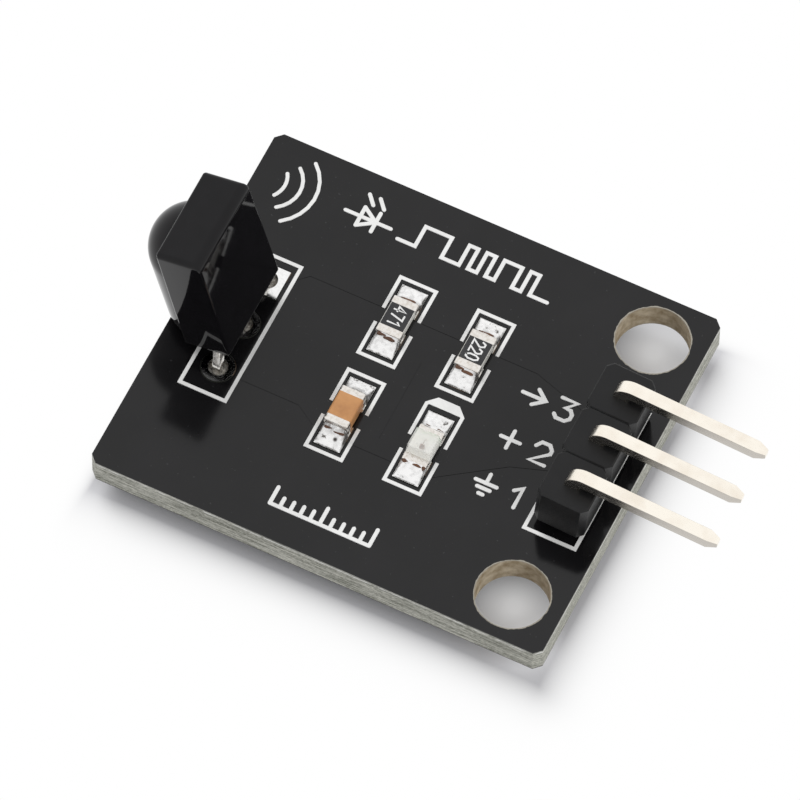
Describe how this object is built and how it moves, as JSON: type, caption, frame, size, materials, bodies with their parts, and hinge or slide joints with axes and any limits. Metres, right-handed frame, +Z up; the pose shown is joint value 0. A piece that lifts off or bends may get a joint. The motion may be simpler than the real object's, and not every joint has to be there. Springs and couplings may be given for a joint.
{
  "type": "infrared receiver module",
  "caption": "Small black circuit board with a leaning domed infrared receiver at one end, surface chips in its middle and right-angle header pins at the other end.",
  "frame": {"origin": "midway between the two mounting holes, on the board's underside", "axes": "+Z up from the board's component side, +X along the board towards the header pins' tips, +Y across the board"},
  "size_m": [0.0295, 0.0192, 0.0109],
  "materials": {
    "laminate": "sawn glass-fibre laminate, fine streaks",
    "solder_mask": "glossy black solder mask",
    "ink": "white printed ink",
    "tinned_pad": "tinned copper",
    "chip_ceramic": "white ceramic",
    "chip_glaze": "black glaze",
    "capacitor_ceramic": "brown ceramic",
    "chip_end_metal": "tinned end metal",
    "solder": "bright solder",
    "lamp_base": "pale moulded base",
    "lamp_lens": "clear moulded resin",
    "lamp_die": "small lamp die",
    "receiver_epoxy": "glossy black moulded epoxy",
    "lead_metal": "tinned lead frame",
    "header_plastic": "black moulded nylon",
    "pin_metal": "plated header pin, pale champagne"
  },
  "bodies": {
    "root": {"laminate": "laminate", "mask_top": "solder_mask", "mask_bottom": "solder_mask", "legend": "ink", "tracks_top": "tinned_pad", "tracks_bottom": "tinned_pad", "resistor_1_pads": "tinned_pad", "resistor_2_pads": "tinned_pad", "capacitor_pads": "tinned_pad", "lamp_pads": "tinned_pad", "receiver_eyelet_1": "tinned_pad", "receiver_eyelet_2": "tinned_pad", "receiver_eyelet_3": "tinned_pad", "header_eyelet_1": "tinned_pad", "header_eyelet_2": "tinned_pad", "header_eyelet_3": "tinned_pad", "resistor_1_body": "chip_ceramic", "resistor_2_body": "chip_ceramic", "resistor_1_glaze": "chip_glaze", "resistor_2_glaze": "chip_glaze", "capacitor_body": "capacitor_ceramic", "resistor_1_ends": "chip_end_metal", "resistor_2_ends": "chip_end_metal", "capacitor_ends": "chip_end_metal", "lamp_ends": "chip_end_metal", "resistor_1_solder": "solder", "resistor_2_solder": "solder", "capacitor_solder": "solder", "lamp_solder": "solder", "receiver_joint_1": "solder", "receiver_joint_2": "solder", "receiver_joint_3": "solder", "header_joint_1": "solder", "header_joint_2": "solder", "header_joint_3": "solder", "lamp_base": "lamp_base", "lamp_lens": "lamp_lens", "lamp_die": "lamp_die", "receiver_body": "receiver_epoxy", "receiver_lead_1": "lead_metal", "receiver_lead_2": "lead_metal", "receiver_lead_3": "lead_metal", "header_body": "header_plastic", "header_pin_1": "pin_metal", "header_pin_2": "pin_metal", "header_pin_3": "pin_metal"}
  },
  "joints": []
}
